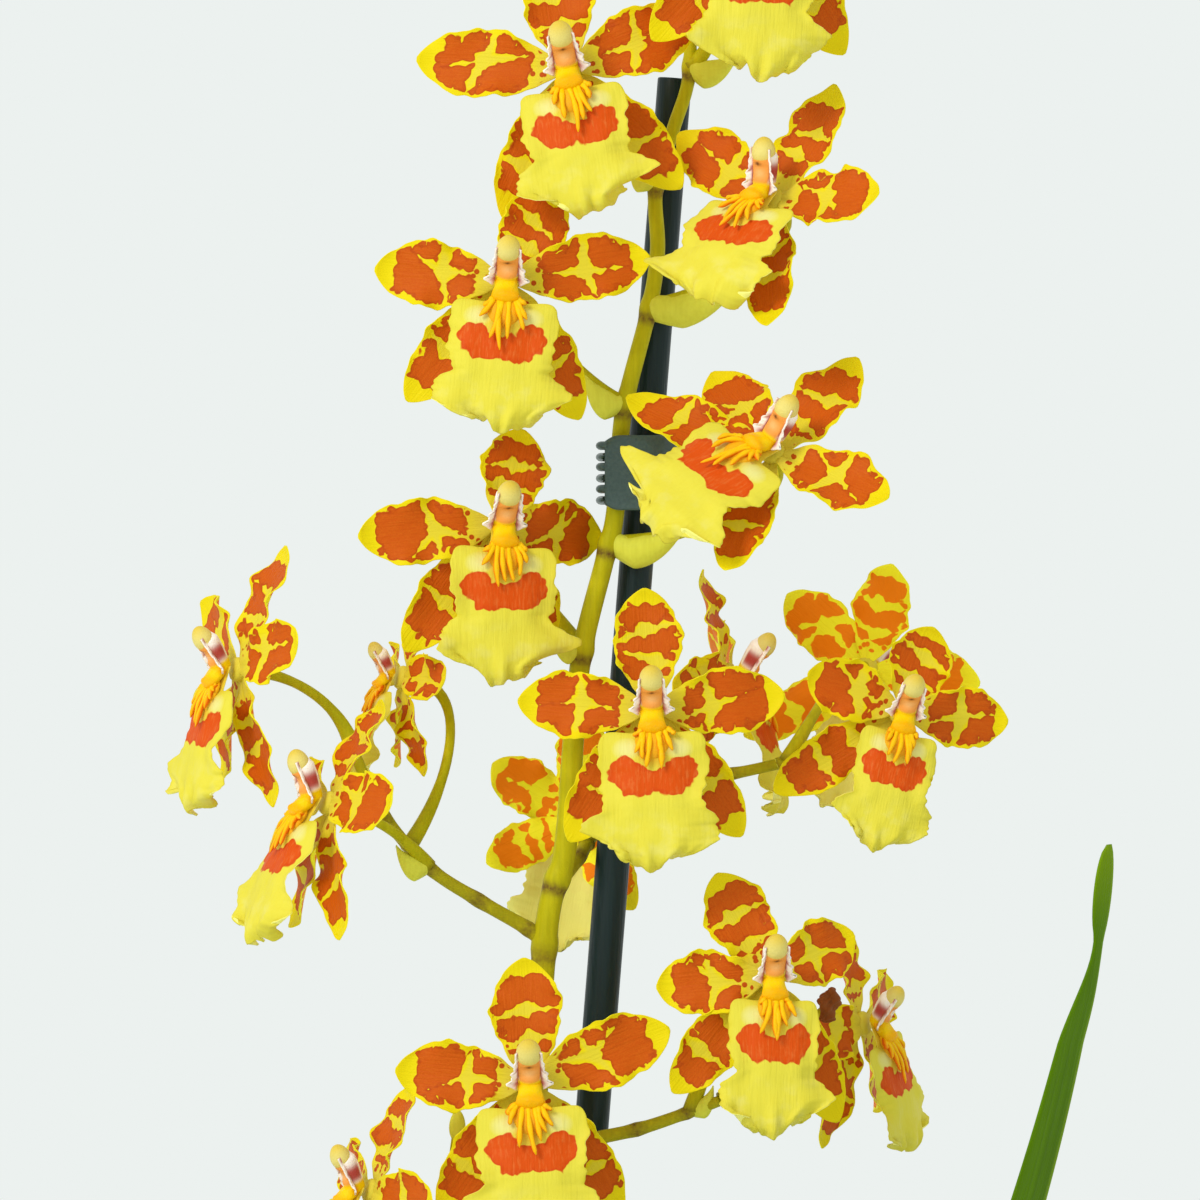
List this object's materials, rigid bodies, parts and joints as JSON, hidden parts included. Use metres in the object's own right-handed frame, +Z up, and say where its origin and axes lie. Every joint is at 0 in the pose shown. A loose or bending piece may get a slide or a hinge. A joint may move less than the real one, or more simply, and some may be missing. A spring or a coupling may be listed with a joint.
{
  "type": "potted orchid",
  "caption": "Potted oncidium orchid with one tall spike of yellow and rust blotched blooms, strap leaves and bulbs, held to a round stake by a sprung claw clip.",
  "frame": {"origin": "centre of the pot's flat base", "axes": "+Z up along the pot's axis, -Y towards the front, the side that most blooms face"},
  "size_m": [0.3534, 0.4012, 0.7807],
  "materials": {
    "tepal_yellow": "thin living petal, yellow with rust brown blotches",
    "lip_yellow": "thin living petal, lemon yellow with a rust mask",
    "stem_olive": "olive green plant stem, satin",
    "bulb_green": "ridged green plant bulb, satin",
    "leaf_green": "smooth green plant leaf, satin",
    "stake_green": "dark green coated rod",
    "clip_green": "dark grey green moulded plastic",
    "spring_steel": "bright spring wire",
    "bark_brown": "loose bark chips, rough",
    "pot_glaze": "plain off-white, satin"
  },
  "bodies": {
    "plant": {"bloom_01_tepals": "tepal_yellow", "bloom_01_lip": "lip_yellow", "bloom_02_tepals": "tepal_yellow", "bloom_02_lip": "lip_yellow", "bloom_03_tepals": "tepal_yellow", "bloom_03_lip": "lip_yellow", "bloom_04_tepals": "tepal_yellow", "bloom_04_lip": "lip_yellow", "bloom_05_tepals": "tepal_yellow", "bloom_05_lip": "lip_yellow", "bloom_06_tepals": "tepal_yellow", "bloom_06_lip": "lip_yellow", "bloom_07_tepals": "tepal_yellow", "bloom_07_lip": "lip_yellow", "bloom_08_tepals": "tepal_yellow", "bloom_08_lip": "lip_yellow", "bloom_09_tepals": "tepal_yellow", "bloom_09_lip": "lip_yellow", "bloom_10_tepals": "tepal_yellow", "bloom_10_lip": "lip_yellow", "bloom_11_tepals": "tepal_yellow", "bloom_11_lip": "lip_yellow", "bloom_12_tepals": "tepal_yellow", "bloom_12_lip": "lip_yellow", "bloom_13_tepals": "tepal_yellow", "bloom_13_lip": "lip_yellow", "bloom_14_tepals": "tepal_yellow", "bloom_14_lip": "lip_yellow", "bloom_15_tepals": "tepal_yellow", "bloom_15_lip": "lip_yellow", "bloom_16_tepals": "tepal_yellow", "bloom_16_lip": "lip_yellow", "bloom_17_tepals": "tepal_yellow", "bloom_17_lip": "lip_yellow", "bloom_18_tepals": "tepal_yellow", "bloom_18_lip": "lip_yellow", "bloom_19_tepals": "tepal_yellow", "bloom_19_lip": "lip_yellow", "flower_stem": "stem_olive", "stake": "stake_green", "clip_front_jaw": "clip_green", "clip_pin": "spring_steel", "clip_spring": "spring_steel", "pseudobulb_1": "bulb_green", "pseudobulb_2": "bulb_green", "pseudobulb_3": "bulb_green", "pseudobulb_4": "bulb_green", "leaf_1": "leaf_green", "leaf_2": "leaf_green", "leaf_3": "leaf_green", "leaf_4": "leaf_green", "leaf_5": "leaf_green", "leaf_6": "leaf_green", "leaf_7": "leaf_green", "leaf_8": "leaf_green", "pot": "pot_glaze", "potting_bark": "bark_brown"},
    "clip_jaw": {"clip_back_jaw": "clip_green"}
  },
  "joints": [
    {"name": "clip_hinge", "type": "hinge", "parent": "plant", "child": "clip_jaw", "pos_m": [0.0368, 0.0044, 0.5945], "axis": [0, 0, -1], "range_deg": [0, 35], "stiffness_Nm_per_rad": 0.004, "springref_deg": -17.19}
  ]
}
